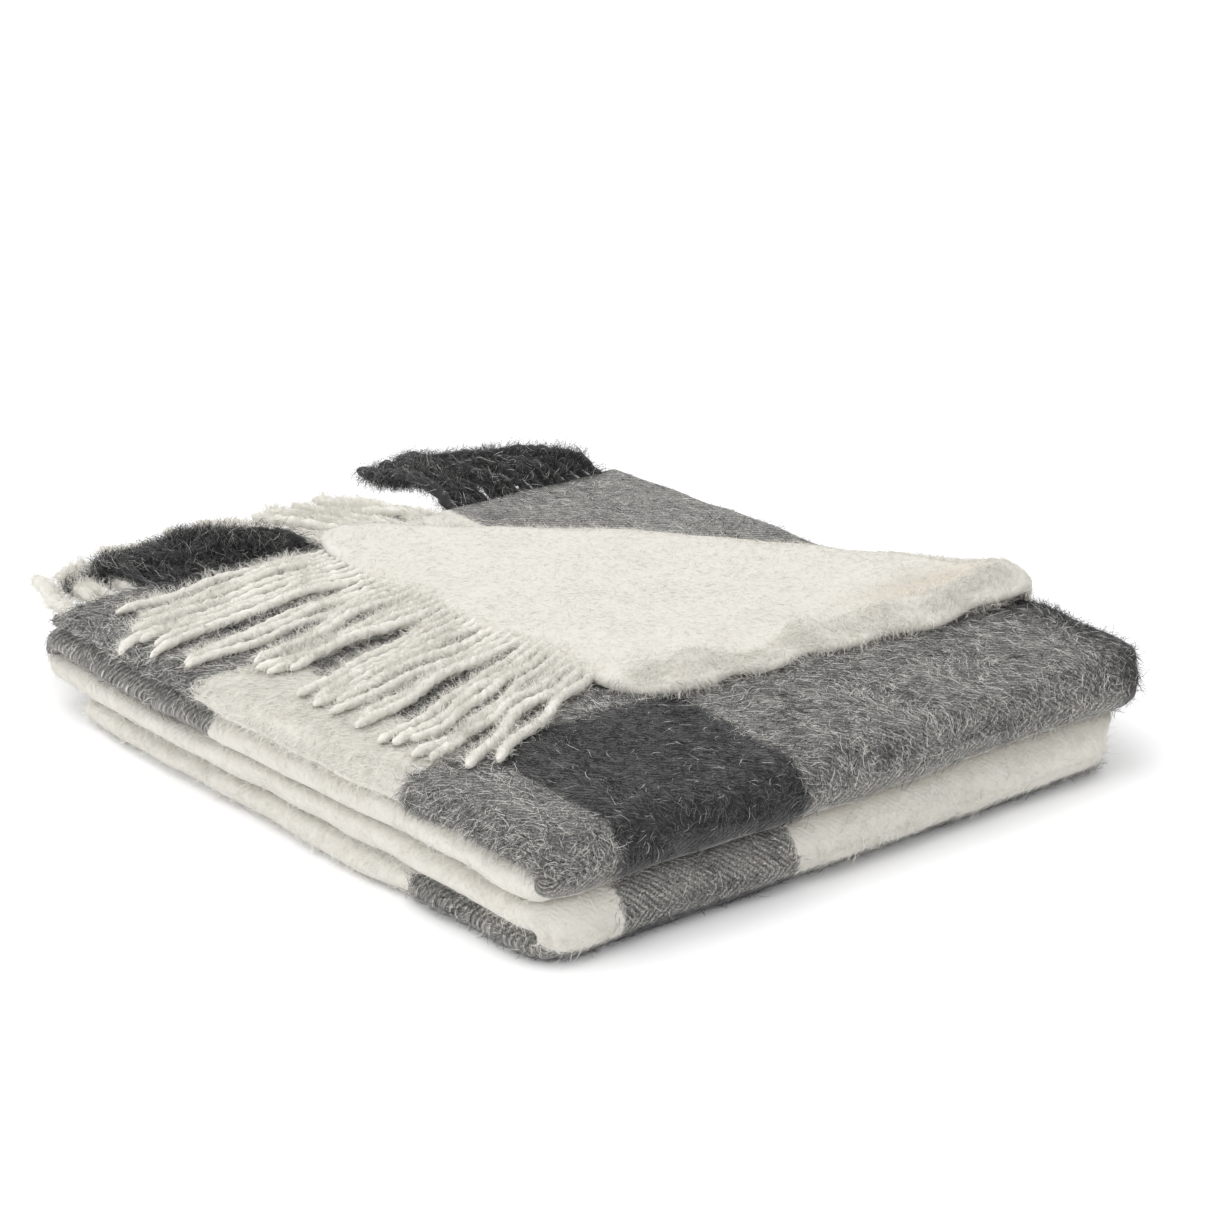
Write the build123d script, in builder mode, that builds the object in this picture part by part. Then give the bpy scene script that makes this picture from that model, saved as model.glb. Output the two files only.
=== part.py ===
"""A woven wool throw with fringed ends, folded into a flat stack with one top corner turned over.

The cloth is folded to a quarter of its width, which makes a pack of four plies, and the pack is then
folded like a concertina into four panels that lie on one another. Panels one and two are joined by a
fold along the front edge, two and three by a fold along the back edge, and three and four by a second
fold along the front edge. The two uppermost plies of the top panel have their right back corner
turned over a diagonal crease. The warp ends are twisted into fringe strands at both ends of the cloth.

Millimetres. X runs along the front edge, Y from the front edge to the back, Z up. The origin is the
middle of the stack's footprint, on the surface that it rests on.
"""

import os
from math import cos, radians, sin

from build123d import *

os.makedirs("parts", exist_ok=True)

# ---- the folded stack
stack_width = 328.0  # along the front edge, side roll to side roll
stack_depth = 385.0  # from the front folds to the back fold
ply_thickness = 3.5  # one brushed ply under the weight of the others
plies_per_panel = 4
panel_gap = 0.3  # between panels that move apart
side_roll_radius = 6.8  # where the cloth turns at a panel's left and right side
bottom_end_inset = 40.0  # from the back fold to the bottom panel's fringed end
under_end_inset = 13.0  # the same for the top panel's two lower plies
top_end_inset = 25.0  # the same for its two uppermost plies

# ---- the turned corner, placed from the stack's left front corner
turned_plies = 2
crease_left = (134.0, 352.0)
crease_right = (338.0, 88.0)
crease_bulge = 24.0  # how far the crease bows out from the line between its ends
crease_roll_radius = 6.4
corner_tip = (124.0, 98.0)
corner_tip_radius = 6.0

# ---- the fringe
strand_diameter = 3.6
strand_pitch = 7.0
strand_clearance = 0.5  # between a strand and the cloth it lies over
corner_strand_length = 117.0
corner_strand_spread = 26.0  # degrees that the strand nearest the tip turns forwards
corner_fringe_margin = 9.0  # from each end of the turned edge to its first strand
top_strand_length = 92.0
top_strand_lean = 27.0  # degrees to the left of straight back beside the crease, and none at the left side
top_light_strand_rise = 0.6
top_dark_strand_rise = 5.4
under_strand_length = 92.0
under_strand_lean = 38.0
under_strand_rise = 0.6
bottom_strand_length = 104.0
bottom_strand_lean = -30.0
root_run = 14.0  # a strand's first run, level and square to its edge, before it bends

# ---- where the dark warp stripes lie, from the stack's left side
outer_dark_stripe = (38.0, 145.0)  # in the bottom panel and in the two uppermost plies
inner_dark_stripe = (222.0, 328.0)  # in the two lower plies of the top panel
under_fringe_start = 74.0  # left of it the lower plies' strands are hidden inside the stack

# ---- worked out from those
panel_thickness = ply_thickness * plies_per_panel
half_gap = panel_gap / 2
stack_height = 4 * panel_thickness
left = -stack_width / 2
right = stack_width / 2
front = -stack_depth / 2
back = stack_depth / 2
top_plies_bottom = stack_height - turned_plies * ply_thickness
strand_radius = strand_diameter / 2
corner_bottom = stack_height + panel_gap
corner_top = corner_bottom + turned_plies * ply_thickness


def from_corner(point):
    """A point given from the stack's left front corner, in the row frame."""
    return (left + point[0], front + point[1])


def folded_pack(low, high, rounded, end):
    """Four plies between two heights, rolled at both sides and rounded where a fold turns them.
    rounded names the corners, seen from the side, that a fold rounds."""
    radius = high - low
    near = front + half_gap
    with BuildPart() as pack:
        with BuildSketch(Plane.YZ.offset(left)):
            with BuildLine():
                if "front_low" in rounded:
                    nose = RadiusArc((near, high), (near + radius, low), -radius)
                else:
                    nose = RadiusArc((near + radius, high), (near, low), -radius)
                if "back_low" in rounded:
                    heel = RadiusArc((end - radius, low), (end, high), -radius)
                elif "back_high" in rounded:
                    heel = RadiusArc((end, low), (end - radius, high), -radius)
                else:
                    heel = Line((end, low), (end, high))
                Line(nose @ 1, heel @ 0)
                Line(heel @ 1, nose @ 0)
            make_face()
        extrude(amount=stack_width)
        with BuildSketch(Plane.XZ.offset(-back)):
            with Locations((0, (low + high) / 2)):
                SlotOverall(stack_width, high - low)
        extrude(amount=stack_depth, mode=Mode.INTERSECT)
    return pack


def write(builder, name):
    builder.part.label = name
    export_step(builder.part, f"parts/{name}.step")


# ---- the three panels that show no turned corner
bottom_panel = folded_pack(
    0, panel_thickness - half_gap, ["front_low"], back - bottom_end_inset
)
write(bottom_panel, "bottom_panel")

second_panel = folded_pack(
    panel_thickness + half_gap,
    2 * panel_thickness - half_gap,
    ["front_high", "back_low"],
    back - half_gap,
)
write(second_panel, "second_panel")

third_panel = folded_pack(
    2 * panel_thickness + half_gap,
    3 * panel_thickness - half_gap,
    ["front_low", "back_high"],
    back - half_gap,
)
write(third_panel, "third_panel")


# ---- the top panel: two lower plies, and two uppermost plies without their right back corner
top_panel_low = 3 * panel_thickness + half_gap


def top_pack(inset):
    return folded_pack(top_panel_low, stack_height, ["front_high"], back - inset)


with BuildPart() as top_panel_under_plies:
    add(top_pack(under_end_inset).part)
    split(bisect_by=Plane.XY.offset(top_plies_bottom), keep=Keep.BOTTOM)
write(top_panel_under_plies, "top_panel_under_plies")

crease_a = from_corner(crease_left)
crease_c = from_corner(crease_right)
tip_b = from_corner(corner_tip)
crease_chord = Vector(*crease_c) - Vector(*crease_a)
along_crease = crease_chord.normalized()
away_from_corner = Vector(-along_crease.Y, along_crease.X)
crease_middle = (Vector(*crease_a) + Vector(*crease_c)) / 2 + away_from_corner * crease_bulge
crease_m = (crease_middle.X, crease_middle.Y)

with BuildPart() as top_plies:
    add(top_pack(top_end_inset).part)
    split(bisect_by=Plane.XY.offset(top_plies_bottom), keep=Keep.TOP)
    with BuildSketch(Plane.XY.offset(top_plies_bottom)):
        with BuildLine():
            crease = ThreePointArc(crease_a, crease_m, crease_c)
            Polyline(
                crease @ 1,
                (right + stack_width, crease_c[1]),
                (right + stack_width, back + stack_depth),
                (crease_a[0], back + stack_depth),
                crease @ 0,
            )
        make_face()
    extrude(amount=turned_plies * ply_thickness, mode=Mode.SUBTRACT)
write(top_plies, "top_plies")


# ---- the turned corner, a flat pair of plies with a soft roll along the crease
with BuildPart() as turned_corner:
    with BuildSketch(Plane.XY.offset(corner_bottom)) as corner_outline:
        with BuildLine():
            crease_line = ThreePointArc(crease_a, crease_m, crease_c)
            Polyline(crease_line @ 1, tip_b, crease_line @ 0)
        make_face()
        fillet(corner_outline.vertices().sort_by_distance(tip_b)[0], radius=corner_tip_radius)
    extrude(amount=corner_top - corner_bottom)
    with BuildLine(Plane.XY.offset(corner_bottom + crease_roll_radius)) as roll_line:
        ThreePointArc(crease_a, crease_m, crease_c)
    with BuildSketch(Plane(origin=roll_line.line @ 0, z_dir=roll_line.line % 0)):
        Circle(crease_roll_radius)
    sweep(path=roll_line.line)
write(turned_corner, "turned_corner")


# ---- fringe strands
def strand(root, points):
    """A round strand from its root through its points, with a soft bend at each one between."""
    path_points = [root, *points]
    bends = []
    for before, at, after in zip(path_points, path_points[1:], path_points[2:]):
        into = Vector(*at) - Vector(*before)
        out = Vector(*after) - Vector(*at)
        turn = into.get_angle(out)
        shorter = min(into.length, out.length)
        bends.append(0.45 * shorter * cos(radians(turn / 2)) / sin(radians(turn / 2)))
    with BuildPart() as one:
        with BuildLine() as route:
            FilletPolyline(*path_points, radius=bends)
        with BuildSketch(Plane(origin=route.line @ 0, z_dir=route.line % 0)):
            Circle(strand_radius)
        sweep(path=route.line)
    return one.part


def back_strand(x, end_y, root_z, lie_z, length, lean):
    """A strand from a panel's back end: a short run straight back, then one that leans aside."""
    bend_y = end_y + root_run
    reach = length - root_run
    tip = (x - reach * sin(radians(lean)), bend_y + reach * cos(radians(lean)), lie_z)
    return strand((x, end_y, root_z), [(x, bend_y, root_z), tip])


def strand_places(first, last):
    """Evenly pitched places between two distances from the stack's left side."""
    count = int((last - first) // strand_pitch)
    start = (first + last - (count - 1) * strand_pitch) / 2
    return [left + start + i * strand_pitch for i in range(count)]


def write_fringe(name, strands):
    with BuildPart() as fringe:
        for one in strands:
            add(one)
    write(fringe, name)


# the bottom panel's fringe lies on the surface, under the back fold and beyond it
bottom_end = back - bottom_end_inset
bottom_root_z = panel_thickness / 2
dark_from, dark_to = outer_dark_stripe


def bottom_strands(places):
    return [
        back_strand(
            x,
            bottom_end,
            bottom_root_z,
            strand_radius + strand_clearance,
            bottom_strand_length,
            bottom_strand_lean,
        )
        for x in places
    ]


first_place = side_roll_radius
last_place = stack_width - side_roll_radius
write_fringe(
    "bottom_fringe_light",
    bottom_strands(strand_places(first_place, dark_from))
    + bottom_strands(strand_places(dark_to, last_place)),
)
write_fringe("bottom_fringe_dark", bottom_strands(strand_places(dark_from, dark_to)))

# the uppermost plies' fringe, left of the turned corner
top_end = back - top_end_inset
top_root_z = (top_plies_bottom + stack_height) / 2


def top_strands(places, rise):
    return [
        back_strand(
            x,
            top_end,
            top_root_z,
            top_root_z + rise,
            top_strand_length,
            top_strand_lean * (x - left) / crease_left[0],
        )
        for x in places
    ]


write_fringe(
    "top_fringe_light",
    top_strands(strand_places(first_place, dark_from), top_light_strand_rise),
)
write_fringe(
    "top_fringe_dark",
    top_strands(strand_places(dark_from, crease_left[0]), top_dark_strand_rise),
)

# the lower plies' fringe, behind the turned corner
under_end = back - under_end_inset
under_root_z = (top_panel_low + top_plies_bottom) / 2
inner_from, inner_to = inner_dark_stripe


def under_strands(places):
    return [
        back_strand(
            x,
            under_end,
            under_root_z,
            under_root_z + under_strand_rise,
            under_strand_length,
            under_strand_lean,
        )
        for x in places
    ]


write_fringe(
    "under_fringe_light", under_strands(strand_places(under_fringe_start, inner_from))
)
write_fringe(
    "under_fringe_dark", under_strands(strand_places(inner_from, last_place))
)

# the turned corner's fringe lies across the top of the stack, towards its left side
corner_edge = Vector(*tip_b) - Vector(*crease_a)
corner_edge_out = Vector(corner_edge.Y, -corner_edge.X).normalized()
corner_lie_z = stack_height + strand_clearance + strand_radius
corner_root_z = (corner_bottom + corner_top) / 2


def corner_strand(distance):
    share = distance / corner_edge.length
    foot = Vector(*crease_a) + corner_edge * share
    turn = corner_strand_spread * share
    heading = corner_edge_out.rotate(Axis.Z, turn)
    bend = foot + corner_edge_out * root_run
    tip = bend + heading * (corner_strand_length - root_run)
    return strand(
        (foot.X, foot.Y, corner_root_z),
        [(bend.X, bend.Y, corner_root_z), (tip.X, tip.Y, corner_lie_z)],
    )


corner_run = corner_edge.length - 2 * corner_fringe_margin
corner_count = int(corner_run // strand_pitch) + 1
write_fringe(
    "corner_fringe",
    [corner_strand(corner_fringe_margin + i * strand_pitch) for i in range(corner_count)],
)
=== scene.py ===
"""Looks for the folded throw: soft plies, a turned corner, twisted fringe strands and a brushed nap.

Lengths are in millimetres from the stack's left front corner until place() turns them into the row frame.
"""

import math

import bmesh
import bpy
import numpy as np
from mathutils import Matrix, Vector
from mathutils.geometry import delaunay_2d_cdt


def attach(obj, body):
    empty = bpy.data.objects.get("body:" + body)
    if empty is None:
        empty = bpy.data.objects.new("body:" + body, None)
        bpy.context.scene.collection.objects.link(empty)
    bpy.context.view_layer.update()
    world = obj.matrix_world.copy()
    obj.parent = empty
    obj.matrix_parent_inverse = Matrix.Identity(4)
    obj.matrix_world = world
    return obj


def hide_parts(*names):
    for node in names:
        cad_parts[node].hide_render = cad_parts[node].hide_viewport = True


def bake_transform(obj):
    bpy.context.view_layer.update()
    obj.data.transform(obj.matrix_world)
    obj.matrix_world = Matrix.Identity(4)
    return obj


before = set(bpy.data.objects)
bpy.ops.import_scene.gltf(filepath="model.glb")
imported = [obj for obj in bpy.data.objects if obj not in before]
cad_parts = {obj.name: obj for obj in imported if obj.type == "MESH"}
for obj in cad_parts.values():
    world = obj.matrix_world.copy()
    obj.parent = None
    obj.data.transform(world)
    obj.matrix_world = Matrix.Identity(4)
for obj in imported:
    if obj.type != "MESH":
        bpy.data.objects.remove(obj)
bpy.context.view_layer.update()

MM = 0.001
WIDTH = 328.0
DEPTH = 385.0
PANEL = 14.0
HALF_PANEL = PANEL / 2
PLY = 3.5
PLY_HALF = 1.63
STACK = 4 * PANEL
MIDDLE = 2 * PANEL
TOP_MIDDLE = 3.5 * PANEL
NOSE = PANEL

# the crease of the turned corner, from its left back end to its right front end
CREASE_LEFT = np.array([134.0, 352.0])
CREASE_RIGHT = np.array([338.0, 88.0])
CREASE_LENGTH = float(np.linalg.norm(CREASE_RIGHT - CREASE_LEFT))
ALONG = (CREASE_RIGHT - CREASE_LEFT) / CREASE_LENGTH
ACROSS = np.array([-ALONG[1], ALONG[0]])
BULGE = 25.0
CHAIN_INSET = 8.0
ROLL_OUTER = 10.2
ROLL_INNER = 3.2
ROLL_LOW = 49.0
FLAP_LOW = 56.7
FLAP_THICK = 6.6
ROLL_TOP = ROLL_LOW + 2 * ROLL_OUTER
TOP_END = DEPTH - 25.0
UNDER_END = DEPTH - 13.0
BOTTOM_END = DEPTH - 40.0
EDGE_STEP = 3.2
GRID = 3.4
# a check's value where there is none, and the share of fibres on faces that are hardly seen
NO_BAND = -60.0
HIDDEN = 0.04


# ---- smooth noise and softening
CORNER_RADII = {(0, 0): 25.0, (0, 1): 9.0, (1, 0): 12.0, (1, 1): 14.0}
CORNER_CUT = 0.85
EDGE_REACH = 16.0
EDGE_SAG = 2.2
# how far the upper plies lean out at the right, the left, the left towards the back, and the back
RIGHT_LEAN, LEFT_LEAN, LEFT_BACK_LEAN, BACK_LEAN = 17.0, 4.0, 9.0, 7.0


def unit(vectors):
    return vectors / np.maximum(np.linalg.norm(vectors, axis=1), 1e-9)[:, None]


def smoothstep(t):
    return t * t * (3 - 2 * t)


def hill(distance, reach):
    return np.exp(-((distance / reach) ** 2))


def near(distance, reach=EDGE_REACH):
    """1 at an edge of the stack and beyond it, fading inwards over reach."""
    return np.exp(-np.maximum(distance, 0) / reach)


def ripple(points, wavelength, seed):
    """Smooth noise of about unit size over points, as a sum of plane waves."""
    r = np.random.default_rng(seed)
    waves = 12
    directions = unit(r.normal(size=(waves, points.shape[1])))
    lengths = wavelength * r.uniform(0.65, 1.5, waves)
    phases = r.uniform(0, 2 * math.pi, waves)
    total = np.zeros(len(points))
    for d, length, phase in zip(directions, lengths, phases):
        total += np.sin(points @ d * (2 * math.pi / length) + phase)
    return total / math.sqrt(waves / 2)


def soften(points):
    """Rounds the stack's corners in plan and lets its plies wander, lean and sag, as soft cloth does."""
    p = points.copy()
    for (side_x, side_y), radius in CORNER_RADII.items():
        qx = np.maximum(p[:, 0] - (WIDTH - radius) if side_x else radius - p[:, 0], 0)
        qy = np.maximum(p[:, 1] - (DEPTH - radius) if side_y else radius - p[:, 1], 0)
        fill_share = np.maximum(qx, qy) / np.maximum(np.hypot(qx, qy), 1e-6)
        inside = (qx > 0) & (qy > 0)
        share = np.where(inside, 1 - CORNER_CUT * (1 - fill_share), 1.0)
        dx = np.where(inside, qx * (share - 1), 0)
        dy = np.where(inside, qy * (share - 1), 0)
        p[:, 0] += dx if side_x else -dx
        p[:, 1] += dy if side_y else -dy
    x, y, z = points.T
    lift = z / STACK
    plan = points[:, :2]
    p[:, 2] += lift * 0.9 * np.tanh(0.8 * ripple(plan, 120, 1) + 0.5 * ripple(plan, 52, 2))
    left, right, front, back = near(x), near(WIDTH - x), near(y), near(DEPTH - y)
    side = points * np.array([1.0, 1.0, 2.2])
    wander = 1.5 * ripple(side, 95, 3) + 0.8 * ripple(side, 38, 4)
    p[:, 0] += wander * left - 0.8 * wander * right
    upper = np.clip((z - 20) / 14, 0, 1)
    right_reach = near(WIDTH - x, 34.0) * (1 - 0.42 * np.clip((y - 180) / 200, 0, 1))
    left_lean = LEFT_LEAN + LEFT_BACK_LEAN * smoothstep(np.clip((y - 90) / 150, 0, 1))
    behind = 1 - np.clip((y - DEPTH) / 40, 0, 1)
    p[:, 0] += RIGHT_LEAN * upper * right_reach - left_lean * near(x, 30.0) * behind
    wander = 1.3 * ripple(side, 100, 5) + 0.7 * ripple(side, 42, 6)
    p[:, 1] += wander * front - 0.6 * wander * back
    p[:, 1] += BACK_LEAN * upper * right_reach * back
    p[:, 2] -= lift * EDGE_SAG * (left + front)
    return p


CORNER = np.array([WIDTH / 2, DEPTH / 2, 0.0])


def place(points):
    """Points of the stack in millimetres as row frame points in metres."""
    return (points - CORNER) * MM


def span(value, low, high):
    """How far inside a band a value lies, in millimetres; negative outside."""
    return np.minimum(value - low, high - value)


def top_columns(x, v):
    edge = 137 + 11 * np.clip(v / 130, 0, 1)
    return np.maximum(np.minimum(x - 38, edge - x), (x - 322) * 0.16)


def top_rows(x, v):
    return np.maximum(span(v, -30, 101), span(v, 245, 420))


def under_columns(x, v):
    return np.maximum(span(x, 222, 329), span(x, 38, 146))


def under_rows(x, v):
    return np.where(x < 70, np.maximum(span(v, 236, 420), 101 - v), NO_BAND)


def low_columns(x, v):
    return span(x, 40, 132)


def third_columns(x, v):
    return np.maximum(span(x, 38, 138), x - 320)


def third_rows(x, v):
    return np.maximum(span(v, 236, 420), 3.0 - v)


def second_rows(x, v):
    return span(v, 420, 500)


def bottom_rows(x, v):
    return span(v, 0, 93)


# ---- mesh building
def link(name, data):
    o = bpy.data.objects.new(name, data)
    bpy.context.scene.collection.objects.link(o)
    return o


def ring_faces(rings, n):
    """Quads between successive rings of n points."""
    return [
        (r * n + k, r * n + (k + 1) % n, (r + 1) * n + (k + 1) % n, (r + 1) * n + k)
        for r in range(rings - 1)
        for k in range(n)
    ]


def new_mesh(name, points, faces, cloth=None, stripes=None, material=None):
    mesh = bpy.data.meshes.new(name)
    mesh.from_pydata(place(points).tolist(), [], faces)
    shell = bmesh.new()
    shell.from_mesh(mesh)
    if shell.calc_volume(signed=True) < 0:
        bmesh.ops.reverse_faces(shell, faces=shell.faces)
        shell.to_mesh(mesh)
    shell.free()
    mesh.update()
    mesh.polygons.foreach_set("use_smooth", np.ones(len(mesh.polygons), bool))
    mesh.set_sharp_from_angle(angle=math.radians(62))
    # the stripes attribute holds the distances into the check's dark column and row, and a third value:
    # painted tan shade, where one is given
    if cloth is not None:
        for key, values in (("cloth", cloth), ("stripes", stripes)):
            if values.shape[1] == 2:
                values = np.column_stack([values, np.zeros(len(values))])
            attribute = mesh.attributes.new(key, "FLOAT_VECTOR", "POINT")
            attribute.data.foreach_set("vector", values.astype(np.float32).ravel())
    if material is not None:
        mesh.materials.append(material)
    return link(name, mesh)


def line(start, end, step):
    count = max(2, int(round(math.hypot(end[0] - start[0], end[1] - start[1]) / step)) + 1)
    return [tuple(p) for p in np.linspace(start, end, count)]


def arc(centre, radius, start, end, count):
    angles = np.radians(np.linspace(start, end, count))
    return [(centre[0] + radius * math.cos(a), centre[1] + radius * math.sin(a)) for a in angles]


def ribbon(path):
    """The closed outline of a ply drawn along path, as its two sides and a rounded tip at each end."""
    kept = [path[0]]
    for p in path[1:]:
        if math.hypot(p[0] - kept[-1][0], p[1] - kept[-1][1]) > 0.05:
            kept.append(p)
    path = np.array(kept)
    tangent = unit(np.gradient(path, axis=0))
    normal = np.column_stack([-tangent[:, 1], tangent[:, 0]])
    one = path + normal * PLY_HALF
    other = path - normal * PLY_HALF
    end_tip = path[-1] + tangent[-1] * PLY_HALF
    start_tip = path[0] - tangent[0] * PLY_HALF
    loop = np.vstack([one, end_tip[None], other[::-1], start_tip[None]])
    n = len(path)
    cap = [(i, i + 1, 2 * n - i - 1, 2 * n - i) for i in range(n - 1)]
    cap += [(n - 1, n, n + 1), (0, 2 * n, 2 * n + 1)]
    return loop, cap


LEFT_ROLL = 7.3
RIGHT_TURN = 322.8
PLY_AT = [PLY * (k + 0.5) for k in range(4)]
OUTER_TURN, INNER_TURN = 1.5 * PLY, 0.5 * PLY
HIDDEN_STEP = 16
# a fold's innermost skin is drawn at its own depth, so that it can't pass through itself
INNER_SKIN = 0.6
INNER_NOSE = NOSE - 1.6


def whole_path(step):
    """One panel's four plies as a single length of cloth, as (distance from the left, height over
    the selvage's face)."""
    return (
        line((326, PLY_AT[0]), (LEFT_ROLL, PLY_AT[0]), step)
        + arc((LEFT_ROLL, HALF_PANEL), OUTER_TURN, -90, -270, 12)
        + line((LEFT_ROLL, PLY_AT[3]), (RIGHT_TURN, PLY_AT[3]), step)
        + arc((RIGHT_TURN, 3 * PLY), INNER_TURN, 90, -90, 7)
        + line((RIGHT_TURN, PLY_AT[2]), (LEFT_ROLL, PLY_AT[2]), HIDDEN_STEP)
        + arc((LEFT_ROLL, HALF_PANEL), INNER_TURN, 90, 270, 7)
        + line((LEFT_ROLL, PLY_AT[1]), (324.5, PLY_AT[1]), HIDDEN_STEP)
    )


def lower_path(step):
    """The two lower plies of the top panel, from the left side round the turn at the right."""
    return (
        arc((LEFT_ROLL, HALF_PANEL), OUTER_TURN, -182, -270, 7)
        + line((LEFT_ROLL, PLY_AT[3]), (RIGHT_TURN, PLY_AT[3]), HIDDEN_STEP)
        + arc((RIGHT_TURN, 3 * PLY), INNER_TURN, 90, -90, 7)
        + line((RIGHT_TURN, PLY_AT[2]), (4.5, PLY_AT[2]), step)
    )


def plies(name, path_of, selvage, upward, front, back, end, columns, rows, step=5.0):
    """Plies drawn along the panel, turned into a quarter round where a fold carries them on.
    selvage is the height of the free selvage's face, front and back the heights of the folds' axes."""
    loop, cap = ribbon(path_of(step))
    x = loop[:, 0]
    z = selvage + (loop[:, 1] if upward else -loop[:, 1])
    turns = np.linspace(90, 0, 9)[:-1]
    sections = [("front", a) for a in turns] if front is not None else []
    first = NOSE if front is not None else 0.0
    last = DEPTH - NOSE if back is not None else end
    for y in np.linspace(first, last, int((last - first) / step) + 1):
        sections.append(("flat", y))
    if back is not None:
        sections += [("back", a) for a in turns[::-1]]
    points = []
    cloth = []
    for kind, value in sections:
        if kind == "flat":
            y, zz, v = np.full(len(x), value), z, value
        else:
            axis = front if kind == "front" else back
            side = np.sign(z - axis)
            t = np.abs(z - axis)
            a = math.radians(value)
            skin = t < INNER_SKIN
            out = np.where(skin, INNER_NOSE * value / 90, t * math.sin(a))
            zz = axis + side * np.where(skin, t, t * math.cos(a))
            y = NOSE - out if kind == "front" else DEPTH - NOSE + out
            v = NOSE - NOSE * a if kind == "front" else DEPTH - NOSE + NOSE * a
        points.append(np.column_stack([x, y, zz]))
        cloth.append(np.column_stack([x, np.full(len(x), v)]))
    n = len(x)
    points = np.vstack(points)
    cloth = np.vstack(cloth)
    faces = ring_faces(len(sections), n)
    faces += [tuple(reversed(f)) for f in cap]
    top = (len(sections) - 1) * n
    faces += [tuple(top + i for i in f) for f in cap]
    if upward:
        faces = [tuple(reversed(f)) for f in faces]
    stripes = np.column_stack([columns(*cloth.T), rows(*cloth.T)])
    return new_mesh(name, soften(points), faces, cloth, stripes, cloth_material)


# ---- materials
WOOL_WHITE = (0.635, 0.62, 0.575)
WOOL_CREAM = (0.605, 0.575, 0.515)
# painted shade: the warm tan that the white cloth takes in the shadowed dip beside the crease's right end
PAINTED_SHADE_TAN = (0.52, 0.44, 0.34)
WOOL_DARK = (0.018, 0.018, 0.019)
WOOL_SOFT_DARK = (0.042, 0.042, 0.043)


def soft_shader(material, sheen=0.25):
    material.use_nodes = True
    shader = material.node_tree.nodes["Principled BSDF"]
    shader.inputs["Roughness"].default_value = 0.95
    shader.inputs["Specular IOR Level"].default_value = 0.1
    shader.inputs["Sheen Weight"].default_value = sheen
    shader.inputs["Sheen Roughness"].default_value = 0.6
    return shader


RIB_LENGTH = 3.6
EDGE_JITTER = 7.0
RIB_WOBBLE = 3.0


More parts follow.
